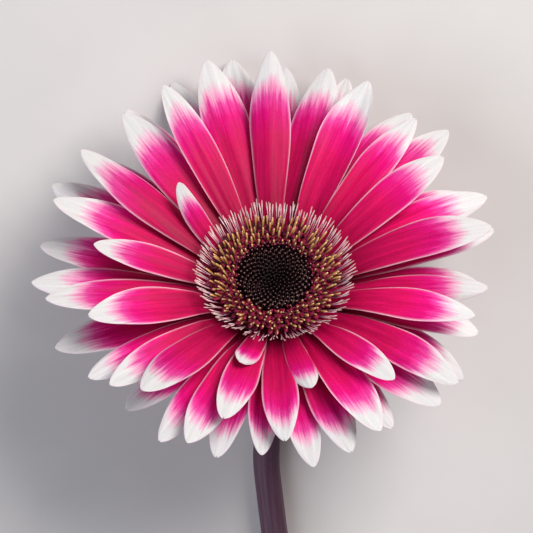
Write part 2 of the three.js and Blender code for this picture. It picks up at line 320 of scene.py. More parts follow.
def petal_skin():
    """Ray floret: thin waxy petal tissue with a soft shine. Crimson runs out along the veins into a
    white tip, a pale rim follows both edges, and the back is paler and duller than the face."""
    made, shader = new_material("ray_floret_skin")
    blade = add(made, "ShaderNodeAttribute", attribute_name="blade")["Vector"]
    reach = add(made, "ShaderNodeAttribute", attribute_name="reach")["Fac"]
    tone = add(made, "ShaderNodeAttribute", attribute_name="tone")["Fac"]
    rim = add(made, "ShaderNodeAttribute", attribute_name="rim")["Fac"]
    reverse = add(made, "ShaderNodeAttribute", attribute_name="reverse")["Fac"]

    # Fine veins, and broader streaks that carry the crimson further out in some places.
    vein_scale = (1 / VEIN_PITCH, 1 / VEIN_RUN, 1)
    vein_place = add(made, "ShaderNodeMapping", {"Vector": blade, "Scale": vein_scale})["Vector"]
    vein = add(made, "ShaderNodeTexNoise", {"Vector": vein_place, "Scale": 1.0, "Detail": 3.0})["Fac"]
    streak_scale = (1 / STREAK_PITCH, 1 / STREAK_RUN, 1)
    streak_place = add(made, "ShaderNodeMapping", {"Vector": blade, "Scale": streak_scale})["Vector"]
    streak = add(made, "ShaderNodeTexNoise", {"Vector": streak_place, "Scale": 1.0, "Detail": 2.0})["Fac"]
    cell_scale = (1 / CELL_GRAIN, 1 / CELL_GRAIN, 1)
    cell_place = add(made, "ShaderNodeMapping", {"Vector": blade, "Scale": cell_scale})["Vector"]
    cells = add(made, "ShaderNodeTexNoise", {"Vector": cell_place, "Scale": 1.0, "Detail": 1.0})["Fac"]
    # The few main veins run the whole length. The third value only sets petals apart.
    rib_scale = (WAVE_BAND / MAIN_VEIN_PITCH, 1 / MAIN_VEIN_RUN, 1 / 9)
    rib_place = add(made, "ShaderNodeMapping", {"Vector": blade, "Scale": rib_scale})["Vector"]
    ribs = add(made, "ShaderNodeTexWave", {"Vector": rib_place, "Scale": 1.0, "Distortion": 1.2,
                                           "Detail": 1.0})["Fac"]

    # Veins and streaks push the line between crimson and white out and back.
    fingers = add(made, "ShaderNodeMath", {0: vein, 1: 0.14, 2: reach}, operation="MULTIPLY_ADD")[0]
    tip_line = add(made, "ShaderNodeMath", {0: streak, 1: 0.12, 2: fingers}, operation="MULTIPLY_ADD")[0]
    face = add(made, "ShaderNodeValToRGB", {"Fac": tip_line}, PETAL_STOPS)["Color"]
    # The rim's colour and the markings both fade out in the white tip.
    tip_calm = add(made, "ShaderNodeMapRange", {0: tip_line, 1: 0.74, 2: 0.90, 3: 0.0, 4: 0.7})[0]
    rim_left = add(made, "ShaderNodeMix", {0: tip_calm, 2: rim, 3: 0.0})[0]
    rimmed = add(made, "ShaderNodeMix", {0: rim_left, 6: face, 7: linear(PETAL_RIM)}, data_type="RGBA")[2]

    # Each marking darkens the skin where it is low and lightens it where it is high.
    rib_shade = add(made, "ShaderNodeMapRange", {0: ribs, 1: 0.86, 2: 1.0, 3: 1.0, 4: 1.16})[0]
    vein_shade = add(made, "ShaderNodeMapRange", {0: vein, 1: 0.3, 2: 0.7, 3: 0.88, 4: 1.09})[0]
    streak_shade = add(made, "ShaderNodeMapRange", {0: streak, 1: 0.3, 2: 0.7, 3: 0.92, 4: 1.07})[0]
    own_shade = add(made, "ShaderNodeMapRange", {0: tone, 3: 0.84, 4: 1.10})[0]
    cell_shade = add(made, "ShaderNodeMapRange", {0: cells, 1: 0.3, 2: 0.7, 3: 0.87, 4: 1.10})[0]
    marked = add(made, "ShaderNodeMath", {0: vein_shade, 1: streak_shade}, operation="MULTIPLY")[0]
    grained = add(made, "ShaderNodeMath", {0: cell_shade, 1: own_shade}, operation="MULTIPLY")[0]
    ribbed = add(made, "ShaderNodeMath", {0: marked, 1: rib_shade}, operation="MULTIPLY")[0]
    shade = add(made, "ShaderNodeMath", {0: ribbed, 1: grained}, operation="MULTIPLY")[0]
    calmed = add(made, "ShaderNodeMix", {0: tip_calm, 2: shade, 3: 0.91})[0]
    shaded = add(made, "ShaderNodeVectorMath", {0: rimmed, "Scale": calmed}, operation="SCALE")[0]
    back = add(made, "ShaderNodeValToRGB", {"Fac": tip_line}, PETAL_BACK_STOPS)["Color"]
    sided = add(made, "ShaderNodeMix", {0: reverse, 6: shaded, 7: back}, data_type="RGBA")[2]

    ridged = add(made, "ShaderNodeBump", {"Height": vein, "Strength": 0.4,
                                          "Distance": VEIN_RELIEF * MM})["Normal"]
    dimpled = add(made, "ShaderNodeBump", {"Height": cells, "Strength": 0.2,
                                           "Distance": CELL_RELIEF * MM, "Normal": ridged})["Normal"]
    rough = add(made, "ShaderNodeMapRange", {0: streak, 1: 0.3, 2: 0.7, 3: 0.42, 4: 0.58})[0]
    into(made, shader, base_color=sided, roughness=rough, normal=dimpled)
    shader.inputs["IOR"].default_value = 1.36
    # The cone-shaped cells of a petal's skin trap light: little shine, and a deep colour.
    shader.inputs["Specular IOR Level"].default_value = 0.15
    shader.inputs["Subsurface Weight"].default_value = 0.10
    shader.inputs["Subsurface Radius"].default_value = (1.0, 0.2, 0.35)
    shader.inputs["Subsurface Scale"].default_value = 0.6 * MM
    return made


def tissue(name, stops, darkest, lightest, roughness, grain, relief, subsurface=0.0, shine=0.5):
    """Plant tissue coloured along its length, a little lighter or darker from one floret to the next.
    A grain of so many millimetres, raised by its relief, breaks up the shine."""
    made, shader = new_material(name)
    along = add(made, "ShaderNodeAttribute", attribute_name="along")["Fac"]
    tone = add(made, "ShaderNodeAttribute", attribute_name="tone")["Fac"]
    place = add(made, "ShaderNodeTexCoord")["Object"]
    grains = add(made, "ShaderNodeTexNoise", {"Vector": place, "Scale": 1 / (grain * MM),
                                              "Detail": 2.0})["Fac"]
    colour = add(made, "ShaderNodeValToRGB", {"Fac": along}, stops)["Color"]
    own_shade = add(made, "ShaderNodeMapRange", {0: tone, 3: darkest, 4: lightest})[0]
    grain_shade = add(made, "ShaderNodeMapRange", {0: grains, 1: 0.3, 2: 0.7, 3: 0.8, 4: 1.2})[0]
    shade = add(made, "ShaderNodeMath", {0: own_shade, 1: grain_shade}, operation="MULTIPLY")[0]
    shaded = add(made, "ShaderNodeVectorMath", {0: colour, "Scale": shade}, operation="SCALE")[0]
    raised = add(made, "ShaderNodeBump", {"Height": grains, "Strength": 0.5,
                                          "Distance": relief * MM})["Normal"]
    rough = add(made, "ShaderNodeMapRange", {0: grains, 1: 0.3, 2: 0.7, 3: roughness - 0.08,
                                             4: roughness + 0.1})[0]
    into(made, shader, base_color=shaded, roughness=rough, normal=raised)
    shader.inputs["IOR"].default_value = 1.38
    shader.inputs["Specular IOR Level"].default_value = shine
    shader.inputs["Subsurface Weight"].default_value = subsurface
    shader.inputs["Subsurface Radius"].default_value = (1.0, 0.4, 0.3)
    shader.inputs["Subsurface Scale"].default_value = 0.4 * MM
    return made


# The patterns on the stalk, in millimetres.
RIB_PITCH = 1
FIBRE_RUN = 15
DOWN_PITCH = 0.25
DOWN_RUN = 1 / 1.2
FIBRE_RELIEF = 0.2
DOWN_RELIEF = 0.05

# Dark mauve from the neck, which gives way to green towards the cut.
STALK_STOPS = [(0.0, "#55374c"), (0.3, "#54384b"), (0.6, "#5a434a"), (0.85, "#66563f"), (1.0, "#6c6c3c")]
CUT_FLESH = "#a9b078"


def stalk_skin():
    """Flower stalk: firm ribbed skin with a short down, and pale moist flesh where it is cut."""
    made, shader = new_material("stalk_skin")
    skin_place = add(made, "ShaderNodeAttribute", attribute_name="blade")["Vector"]
    along = add(made, "ShaderNodeAttribute", attribute_name="along")["Fac"]
    cut = add(made, "ShaderNodeAttribute", attribute_name="cut")["Fac"]
    fibre_scale = (1 / RIB_PITCH, 1 / RIB_PITCH, 1 / FIBRE_RUN)
    fibre_place = add(made, "ShaderNodeMapping", {"Vector": skin_place, "Scale": fibre_scale})["Vector"]
    fibres = add(made, "ShaderNodeTexNoise", {"Vector": fibre_place, "Scale": 1.0, "Detail": 4.0})["Fac"]
    down_scale = (1 / DOWN_PITCH, 1 / DOWN_PITCH, 1 / DOWN_RUN)
    down_place = add(made, "ShaderNodeMapping", {"Vector": skin_place, "Scale": down_scale})["Vector"]
    down = add(made, "ShaderNodeTexNoise", {"Vector": down_place, "Scale": 1.0, "Detail": 2.0})["Fac"]
    skin = add(made, "ShaderNodeValToRGB", {"Fac": along}, STALK_STOPS)["Color"]
    fibre_shade = add(made, "ShaderNodeMapRange", {0: fibres, 1: 0.3, 2: 0.7, 3: 0.66, 4: 1.3})[0]
    down_shade = add(made, "ShaderNodeMapRange", {0: down, 1: 0.35, 2: 0.7, 3: 0.92, 4: 1.16})[0]
    shade = add(made, "ShaderNodeMath", {0: fibre_shade, 1: down_shade}, operation="MULTIPLY")[0]
    shaded = add(made, "ShaderNodeVectorMath", {0: skin, "Scale": shade}, operation="SCALE")[0]
    whole = add(made, "ShaderNodeMix", {0: cut, 6: shaded, 7: linear(CUT_FLESH)}, data_type="RGBA")[2]
    ribbed = add(made, "ShaderNodeBump", {"Height": fibres, "Strength": 0.5,
                                          "Distance": FIBRE_RELIEF * MM})["Normal"]
    downy = add(made, "ShaderNodeBump", {"Height": down, "Strength": 0.4,
                                         "Distance": DOWN_RELIEF * MM, "Normal": ribbed})["Normal"]
    rough = add(made, "ShaderNodeMapRange", {0: down, 1: 0.3, 2: 0.7, 3: 0.48, 4: 0.66})[0]
    into(made, shader, base_color=whole, roughness=rough, normal=downy)
    shader.inputs["IOR"].default_value = 1.38
    shader.inputs["Sheen Weight"].default_value = 0.08
    return made


CARD_CLOUD = 40                  # the largest clouds in the card's pulp, in millimetres
CARD_STOPS = [(0.3, "#c8c8c8"), (0.7, "#cecece")]


def studio_card():
    """Uncoated card: matt, with the faint cloudiness of its pulp."""
    made, shader = new_material("studio_card")
    place = add(made, "ShaderNodeTexCoord")["Object"]
    pulp = add(made, "ShaderNodeTexNoise", {"Vector": place, "Scale": 1 / (CARD_CLOUD * MM),
                                            "Detail": 5.0})["Fac"]
    colour = add(made, "ShaderNodeValToRGB", {"Fac": pulp}, CARD_STOPS)["Color"]
    into(made, shader, base_color=colour)
    shader.inputs["Roughness"].default_value = 0.9
    return made


# ---- Petals ----
BLADE_STEPS = 30                 # rows of points up to the widest place
TIP_STEPS = 22                   # and from there, closer and closer, to the tip
TIP_CROWDING = 1.8
HALF_COLUMNS = 12
FINE_STEPS = 224                 # steps that a petal's middle line is walked in
BLADE_THICKNESS = 0.42
BLUNT_TIP = 0.8


def petal_width(along, full_width):
    """Width along a petal, as in the CAD model up to the widest place. Past it the blade draws in a
    little more, to a sharper tip."""
    left = np.clip(1 - along / WIDEST, 0, 1)
    past = np.clip((along - WIDEST) / (1 - WIDEST), 0, 1)
    near = full_width + (CLAW_WIDTH - full_width) * left ** 1.5
    far = BLUNT_TIP + (full_width - BLUNT_TIP) * (1 - past ** 2) ** 0.75
    return np.where(along < WIDEST, near, far)


def free_angle():
    """The angle left between neighbours of a row where they stand closest."""
    radius = petal_root + CROWDED_AT * PETAL_LENGTH
    filled = float(petal_width(np.array(CROWDED_AT), PETAL_WIDTH)) / radius
    return 360 / PETALS_PER_ROW - math.degrees(filled)


def row_petal(row, index):
    """One petal of a row, by the CAD model's rule."""
    turn = (index + row * CHANGE_SHIFT) % PETALS_PER_ROW
    aside = TURN_SHARES[turn] * free_angle() / row
    azimuth = ROW_START[row] + index * 360 / PETALS_PER_ROW + aside
    reach = REACH_SWING[row] * math.cos(math.radians(azimuth - REACH_TOWARDS))
    shortening = FRONT_ROW_SHORTENING[index] if row == 1 else 0
    length = PETAL_LENGTH + ROW_LENGTH_CHANGE[row] + LENGTH_CHANGES[turn] + reach - shortening
    curl = CURL_MEAN + CURL_SWING * math.cos(math.radians(azimuth - CURL_TOWARDS))
    return dict(
        name=f"petal_row{row}_{index + 1:02d}", row=row, azimuth=azimuth, rise=ROW_RISE[row],
        length=length, width=(PETAL_WIDTH + WIDTH_CHANGES[turn]) * math.sqrt(length / PETAL_LENGTH),
        curl=(curl + CURL_CHANGES[turn]) * length / PETAL_LENGTH,
        sweep=SWEEP_CHANGES[turn], twist=TWIST_CHANGES[turn])


def petal_frames(petal, steps):
    """Places along a petal's middle line, with its sideways and upward directions there."""
    along = np.arange(steps + 1) / steps
    lift = np.radians(petal["rise"] - petal["curl"] * along ** CURL_EASE)
    heading = np.radians(petal["azimuth"] + petal["sweep"] * along)
    level_ahead = np.stack([np.cos(heading), np.sin(heading)], 1) * np.cos(lift)[:, None]
    ahead = np.column_stack([level_ahead, np.sin(lift)])
    start = math.radians(petal["azimuth"])
    root = [petal_root * math.cos(start), petal_root * math.sin(start), -petal["row"] * ROW_PITCH]
    walked = np.cumsum(ahead[:-1], axis=0) * petal["length"] / steps
    place = np.array(root) + np.vstack([np.zeros(3), walked])
    level = np.stack([-np.sin(heading), np.cos(heading), np.zeros(steps + 1)], 1)
    twist = np.radians(petal["twist"] * along)[:, None]
    side = level * np.cos(twist) + np.cross(ahead, level) * np.sin(twist)
    return along, place, side, np.cross(ahead, side), ahead


def tip_height(petal):
    """How high a petal's tip is above the middle of the head, with the head at its lean."""
    tip = petal_frames(petal, CAD_STEPS)[1][-1]
    return tip[2] * math.cos(FACE_LEAN) - tip[1] * math.sin(FACE_LEAN)


def rest_on_surface(petals):
    """Less curl brings the tips that hang lowest up to one height."""
    lowest = sorted(petals, key=tip_height)[:RESTING_PETALS]
    surface = tip_height(lowest[-1])
    for petal in lowest:
        while tip_height(petal) < surface:
            petal["curl"] -= CURL_STEP


def blade_lines(petal):
    """Shares along a petal, closer together towards its tip, and its places and directions there."""
    fine_along, *fine_lines = petal_frames(petal, FINE_STEPS)
    lower = np.linspace(0, WIDEST, BLADE_STEPS, endpoint=False)
    eased = 1 - (1 - np.linspace(0, 1, TIP_STEPS + 1)) ** TIP_CROWDING
    along = np.concatenate([lower, WIDEST + (1 - WIDEST) * eased])
    return along, [np.stack([np.interp(along, fine_along, line[:, k]) for k in range(3)], 1)
                   for line in fine_lines]


def blade_skins(lines, own, s, u, w):
    """The upper and lower skin of a thin blade. s runs along it from 0 to 1, u across it from -1 to 1,
    and w is its width."""
    place, side, up, ahead = lines
    # The shaping comes in past the claw and fades towards the tip.
    body = np.clip(s * 4, 0, 1) * (1 - 0.75 * np.clip((s - 0.8) / 0.2, 0, 1))
    # Two or three furrows run the whole length.
    furrow_depth = own.uniform(0.05, 0.15)
    furrow_count = own.choice([2.0, 2.5, 3.0])
    furrows = furrow_depth * np.cos(math.pi * (furrow_count * u + own.uniform(-0.5, 0.5)))
    # The blade is cupped, folded along its middle and, on some petals, rolled at one edge.
    cup = own.uniform(-0.05, 0.13) * w * u ** 2
    fold = own.choice([0.04, 0.08, 0.13, -0.07]) * w * np.sqrt(u ** 2 + 0.01)
    rolled = own.choice([0, 0, 0, 0.10, -0.10]) * w * np.clip(u * own.choice([-1, 1]), 0, 1) ** 3
    wave = own.uniform(0.1, 0.35) * u ** 3 * np.sin(s * own.uniform(6, 11) + own.uniform(0, 6))
    bow = own.uniform(-0.6, 0.6) * np.sin(s * math.pi) * s
    height = (furrows + cup + fold + rolled + wave) * body - PETAL_ARCH * w * u ** 2 + bow
    edge_swing = own.uniform(0, 6)
    outline = w * (1 + 0.02 * np.sin(s * own.uniform(9, 15) + np.sign(u) * edge_swing + u))
    # The tip is rounded off, and nicked on half of the petals.
    near_tip = np.clip((s - 0.93) / 0.07, 0, 1) ** 2
    nick = own.choice([0.0, 0.0, 0.35, 0.6]) * np.exp(-((u - own.uniform(-0.3, 0.3)) / 0.25) ** 2)
    drawn_back = (-0.35 * (1 - np.sqrt(1 - 0.97 * u ** 2)) - nick) * near_tip
    thickness = BLADE_THICKNESS / 2 * np.sqrt(1 - u ** 4) * (1 - 0.5 * s)
    thickness[-1, :] = 0
    middle = (place[:, None, :] + side[:, None, :] * (outline * u / 2)[:, :, None]
              + up[:, None, :] * height[:, :, None] + ahead[:, None, :] * drawn_back[:, :, None])
    raised = up[:, None, :] * thickness[:, :, None]
    return middle + raised, middle - raised


def blade_mesh(top, under):
    """One closed mesh from two skins that share their points round the edge, and which points of
    the lower skin it has of its own."""
    rows, columns = top.shape[:2]
    face_number = np.arange(rows * columns).reshape(rows, columns)
    inside = np.zeros((rows, columns), bool)
    inside[:-1, 1:-1] = True
    back_number = face_number.copy()
    back_number[inside] = rows * columns + np.arange(inside.sum())
    faces = []
    for i in range(rows - 1):
        for j in range(columns - 1):
            a, b, c, d = (i, j), (i + 1, j), (i + 1, j + 1), (i, j + 1)
            faces.append([int(face_number[k]) for k in (a, b, c, d)])
            faces.append([int(back_number[k]) for k in (d, c, b, a)])
    for j in range(columns - 1):
        foot = [face_number[0, j], face_number[0, j + 1], back_number[0, j + 1], back_number[0, j]]
        faces.append([int(k) for k in dict.fromkeys(foot)])
    return np.vstack([top.reshape(-1, 3), under[inside]]), faces, inside


def petal_piece(petal, skin):
    """A petal's blade, with what its skin needs to know at each point."""
    own = random.Random(petal["name"])
    along, lines = blade_lines(petal)
    across = np.sin(np.linspace(-math.pi / 2, math.pi / 2, 2 * HALF_COLUMNS + 1))
    s, u = along[:, None], across[None, :]
    w = petal_width(along, petal["width"])[:, None]
    points, faces, inside = blade_mesh(*blade_skins(lines, own, s, u, w))

    number = own.random()
    edge = np.abs(u) * np.ones_like(s)
    from_edge = (1 - edge) * w / 2
    # The skin's veins and streaks add 0.13 to this on average.
    reach = s - 0.13 + 0.09 * edge ** 3 + 0.05 * (own.random() - 0.5)
    rim = np.clip(1 - from_edge / (0.28 + 0.45 * s ** 2), 0, 1) * np.clip((s - 0.1) * 3, 0, 0.9)
    lengthwise = s * petal["length"] * np.ones_like(u)
    # The third value is far apart from petal to petal, so that no two share a pattern.
    blade = np.stack([u * w / 2, lengthwise, np.full_like(edge, number * 400)], 2)
    grids = {"reach": reach, "rim": rim, "tone": np.full_like(edge, number)}
    values = {key: np.concatenate([grid.ravel(), grid[inside]]) for key, grid in grids.items()}
    values["reverse"] = np.concatenate([np.zeros(edge.size), np.ones(inside.sum())])
    values["blade"] = np.vstack([blade.reshape(-1, 3), blade[inside]])
    name = petal["name"].replace("petal", "ray_floret")
    finished(name, from_head(points), faces, skin, [petal["name"]], values)


def make_petals():
    petals = [dict(row=0, rise=ROW_RISE[0], **petal) for petal in STUNTED_PETALS]
    for row in range(1, len(ROW_RISE)):
        petals += [row_petal(row, index) for index in range(PETALS_PER_ROW)]
    rest_on_surface(petals)
    skin = petal_skin()
    for petal in petals:
        petal_piece(petal, skin)


# ---- Disc ----
GOLDEN_ANGLE = math.pi * (3 - math.sqrt(5))
EYE_BUDS = 250
OPEN_FLORETS = 245
STALK_PAIRS = 98
GRAVITY_LEAN = np.array([0.10, 0.02, 0.0])   # the open florets all lean a little to one side

# Each runs from the foot of a floret, 0, to its tip, 1.
# The buds' pale top is a painted highlight, the glint on each rounded bud.
BUD_COLOUR_AND_HIGHLIGHT_STOPS = [(0.0, "#0d0206"), (0.7, "#16040a"), (0.88, "#260a12"), (0.95, "#5c3438"), (1.0, "#a57e7c")]
COROLLA_STOPS = [(0.0, "#22040c"), (0.4, "#4e0a20"), (0.75, "#74102e"), (1.0, "#962650")]
# The brown of an anther's lower part is painted shade among the florets; the tan above it and the pale tip
# are its own colour.
ANTHER_COLOUR_AND_SHADE_STOPS = [(0.0, "#5d2426"), (0.2, "#8f5a36"), (0.6, "#b5844c"), (0.9, "#d0a468"), (1.0, "#e6c894")]
PALE_STALK_STOPS = [(0.0, "#5c0f2e"), (0.3, "#8d2d57"), (0.52, "#c78ba6"), (0.85, "#efd0d8"),
                    (0.94, "#faeaea"), (1.0, "#c79a9c")]


def outwards(angle):
    return np.array([math.cos(angle), math.sin(angle), 0.0])


def sideways(angle):
    return np.array([-math.sin(angle), math.cos(angle), 0.0])


def bent_line(start, angle, lean_start, lean_end, length, steps, aside=0.0):
    """A line from a foot that leans outwards, by one angle at its start and another at its end."""
    line = [np.asarray(start, float)]
    for i in range(steps):
        share = (i + 0.5) / steps
        lean = lean_start + (lean_end - lean_start) * share
        way = outwards(angle) * math.sin(lean) + np.array([0, 0, math.cos(lean)])
        way = way + sideways(angle) * aside * share
        line.append(line[-1] + way / np.linalg.norm(way) * length / steps)
    return np.array(line)


def eye_buds():
    """The unopened florets: close-set buds that spiral into a dimple, on a low dark cushion."""
    buds = Bundle()
    cushion = floret_foot + EYE_HEIGHT - 0.9
    buds.turned([[0, floret_foot], [EYE_RADIUS, floret_foot], [EYE_RADIUS, cushion - 0.8],
                 [EYE_RADIUS * 0.88, cushion], [EYE_RADIUS * 0.5, cushion - 0.3], [0, cushion - 0.9]],
                48, 0.1)
    for i in range(EYE_BUDS):
        share = (i + 0.5) / EYE_BUDS
        radius = (EYE_RADIUS - 0.15) * share ** 0.53
        angle = i * GOLDEN_ANGLE + rng.uniform(-0.09, 0.09) / radius
        radius += rng.uniform(-0.06, 0.06)
        foot_height = cushion - 1.0 + 0.9 * share ** 0.6 - (0.7 if share > 0.92 else 0)
        size = 0.30 + 0.17 * share ** 0.4 + rng.uniform(-0.02, 0.02)
        length = 1.3 + 0.7 * share + rng.uniform(-0.12, 0.12)
        lean = -0.25 + 0.5 * share
        foot = outwards(angle) * radius + [0, 0, foot_height]
        radii = [size * k for k in (0.85, 1.0, 1.0, 0.88, 0.62, 0.42, 0.28)]
        # The tone grows with the distance out, so the buds and their painted highlights are darker towards
        # the middle.
        buds.tube(bent_line(foot, angle, lean, lean, length, 6), radii, share ** 1.2, sides=7)
    # Closed bud: tough dry skin, almost black; the pale colour at its top is a painted highlight.
    skin = tissue("closed_bud_skin", BUD_COLOUR_AND_HIGHLIGHT_STOPS, darkest=0.2, lightest=1.1, roughness=0.48,
                  grain=0.2, relief=0.05, shine=0.2)
    buds.piece("eye_buds", skin, ["disc_eye"], "eye")


LOBE_STEPS = 6
LOBE_LENGTH = 1.7                # for a lobe of size 1
LOBE_WIDTHS = [0.5, 0.7, 0.8, 0.85, 0.8, 0.6, 0.3]
LOBE_THICKNESS = 0.15


def curled_lobe(lobes, place, way, facing, size, curl):
    """One lobe of a corolla, which curls over from the way its tube points."""
    strap = []
    for k in range(LOBE_STEPS + 1):
        tilt = 0.15 + curl * k / LOBE_STEPS
        strap.append(place)
        ahead = outwards(facing) * math.sin(tilt) + way * math.cos(tilt)
        place = place + ahead * size * LOBE_LENGTH / LOBE_STEPS
    widths = [size * k for k in LOBE_WIDTHS]
    lobes.strap(strap, sideways(facing), widths, LOBE_THICKNESS, rng.random())


def open_floret(lobes, anthers, share, angle):
    """A maroon corolla tube, its curled lobes, and the tan anther tube that stands out of it."""
    inner, outer = EYE_RADIUS - 0.1, disc_radius - 0.5
    crest_radius = math.sqrt(inner ** 2 + (outer ** 2 - inner ** 2) * share) + rng.uniform(-0.25, 0.25)
    outness = (crest_radius - inner) / (outer - inner)
    foot_radius = inner + outness * 1.9
    ripe = min(1.0, 0.25 + 1.6 * outness)
    crest_height = floret_foot + 2.7 + 1.2 * ripe + rng.uniform(-0.35, 0.35)
    foot = outwards(angle) * foot_radius + [0, 0, floret_foot]
    crest = outwards(angle) * crest_radius + [0, 0, crest_height]
    way = (crest - foot) / np.linalg.norm(crest - foot)
    tube = [foot + (crest - foot) * k for k in (0, 0.4, 0.8, 1.0)]
    lobes.tube(tube, [0.25, 0.32, 0.42, 0.50], rng.random(), along=[0, 0.2, 0.4, 0.5])
    for turn in (0.0, 2.3, -2.3):
        facing = angle + turn + rng.uniform(-0.35, 0.35)
        size = (1.1 if turn == 0 else 0.85) * (0.75 + 0.35 * ripe) * rng.uniform(0.85, 1.2)
        curled_lobe(lobes, crest - way * 0.25, way, facing, size, rng.uniform(1.7, 2.7))
    # Half of the florets next to the eye haven't put out their anthers yet.
    if outness < 0.08 and rng.random() < 0.5:
        return
    length = (1.4 + 2.2 * ripe) * rng.uniform(0.72, 1.15)
    lean = math.asin(min(0.9, way @ outwards(angle))) + rng.uniform(-0.10, 0.14)
    ahead = outwards(angle) * math.sin(lean) + [0, 0, math.cos(lean)]
    ahead = ahead + sideways(angle) * rng.uniform(-0.16, 0.16) + GRAVITY_LEAN
    ahead = ahead / np.linalg.norm(ahead)
    drift = sideways(angle) * rng.uniform(-0.3, 0.3) + outwards(angle) * rng.uniform(-0.1, 0.35)
    line = [crest - way * 0.7 + ahead * length * k + drift * k * k for k in np.linspace(0, 1, 8)]
    girth = rng.uniform(0.85, 1.12)
    radii = [girth * k for k in (0.15, 0.18, 0.19, 0.20, 0.22, 0.24, 0.23, 0.12)]
    anthers.tube(line, radii, rng.random(), sides=7)


def disc_florets():
    """The ring of open florets, on the dark cushion that their feet make."""
    lobes = Bundle()
    anthers = Bundle()
    lobes.turned([[0, floret_foot], [disc_radius * 0.78, floret_foot],
                  [disc_radius * 0.84, floret_foot + 2.4], [EYE_RADIUS + 0.6, floret_foot + 2.6],
                  [EYE_RADIUS * 0.99, floret_foot + 1], [0, floret_foot + 0.6]], 48, 0.0)
    for i in range(OPEN_FLORETS):
        angle = i * GOLDEN_ANGLE + rng.uniform(-0.05, 0.05)
        open_floret(lobes, anthers, (i + 0.5) / OPEN_FLORETS, angle)
    # Corolla: thin satin petal tissue, dark in the tube and brighter out along the lobes.
    corolla_skin = tissue("corolla_skin", COROLLA_STOPS, darkest=0.45, lightest=1.5, roughness=0.48,
                          grain=0.35, relief=0.06, subsurface=0.05, shine=0.3)
    # Anther tube: dry papery skin under a dust of pollen, matt and tan, palest at its tip, with painted
    # shade browning its lower part.
    anther_skin = tissue("anther_skin", ANTHER_COLOUR_AND_SHADE_STOPS, darkest=0.62, lightest=1.12, roughness=0.55,
                         grain=0.25, relief=0.05)
    lobes.piece("disc_corollas", corolla_skin, ["disc_florets"], "disc_floret")
    anthers.piece("disc_anthers", anther_skin, ["disc_florets"], "disc_floret")


STALK_RADII = [0.14, 0.12, 0.105, 0.095, 0.09, 0.085, 0.09, 0.16, 0.11]
STALK_SHARES = [0, 0.15, 0.3, 0.42, 0.55, 0.68, 0.86, 0.96, 1.0]
STALK_LEAN_START = math.radians(56)
STALK_LEAN_END = math.radians(33)


def outer_stalks():
    """The outermost florets: pale thread-like stalks in pairs that share a foot, with knobbed tips."""
    stalks = Bundle()
    for i in range(STALK_PAIRS):
        angle = 2 * math.pi * (i + rng.uniform(-0.3, 0.3)) / STALK_PAIRS
        foot_radius = outer_foot_inner + 0.3 + 0.7 * (i % 2)
        start = outwards(angle) * foot_radius + [0, 0, floret_foot]
        length = 10.8 + rng.uniform(-0.9, 0.7) - 0.6 * (i % 2)
        pair_lean = STALK_LEAN_END + rng.uniform(-0.10, 0.10)
        for fork in (-1, 1):
            own_length = length - rng.uniform(0, 1.3)
            own_lean = pair_lean + rng.uniform(-0.06, 0.06)
            splay = fork * rng.uniform(0.05, 0.13)
            line = bent_line(start, angle, STALK_LEAN_START, own_lean, own_length, 8, splay)
            stalks.tube(line, STALK_RADII, rng.random(), along=STALK_SHARES)
    # Stalk of an outer floret: moist, waxy and half clear, pink at its foot and almost white above.
    skin = tissue("pale_stalk_skin", PALE_STALK_STOPS, darkest=0.72, lightest=1.12, roughness=0.42,
                  grain=0.3, relief=0.04, subsurface=0.1)
    stalks.piece("outer_stalks", skin, ["outer_florets"], "floret_stalk")


# ---- Receptacle and bracts ----
BRACT_ROWS = [
    dict(name="bract_scales_inner", scales=26, out=0.75, rim=4.9, top=-0.9, width=3.3),
    dict(name="bract_scales_outer", scales=22, out=1.75, rim=4.3, top=-2.7, width=3.0),
]
BRACT_WIDTHS = [0.45, 0.7, 0.9, 1.0, 0.92, 0.7, 0.42, 0.1]
BRACT_THICKNESS = 0.55

# From the stem up: green outside, then dark maroon at the top, where the petals grow from it: painted
# shade under their feet.
FLESH_AND_SHADE_STOPS = [(0.0, "#6f8046"), (0.45, "#7c8a4c"), (0.6, "#5a1230"), (1.0, "#4a0a26")]
BRACT_STOPS = [(0.0, "#5b6b3a"), (0.45, "#4f6234"), (0.8, "#5a5a3a"), (1.0, "#6d4450")]


def receptacle():
    """The fleshy cup that everything grows from."""
    flesh = Bundle()
    flesh.turned([[0, receptacle_end], [STEM_RADIUS, receptacle_end], [4.6, receptacle_end + 1.5],
                  [receptacle_radius - 0.9, shoulder - 1.6], [receptacle_radius - 0.2, shoulder],
                  [receptacle_radius, shoulder + 1.5], [receptacle_radius, receptacle_top],
                  [0, receptacle_top]], 64, 0.5)
    # Receptacle: firm moist flesh with a thin smooth skin and a broad, shallow grain.
    skin = tissue("receptacle_flesh", FLESH_AND_SHADE_STOPS, darkest=0.9, lightest=1.1, roughness=0.55,
                  grain=0.8, relief=0.1)
    flesh.piece("receptacle_cup", skin, ["receptacle"], "receptacle")


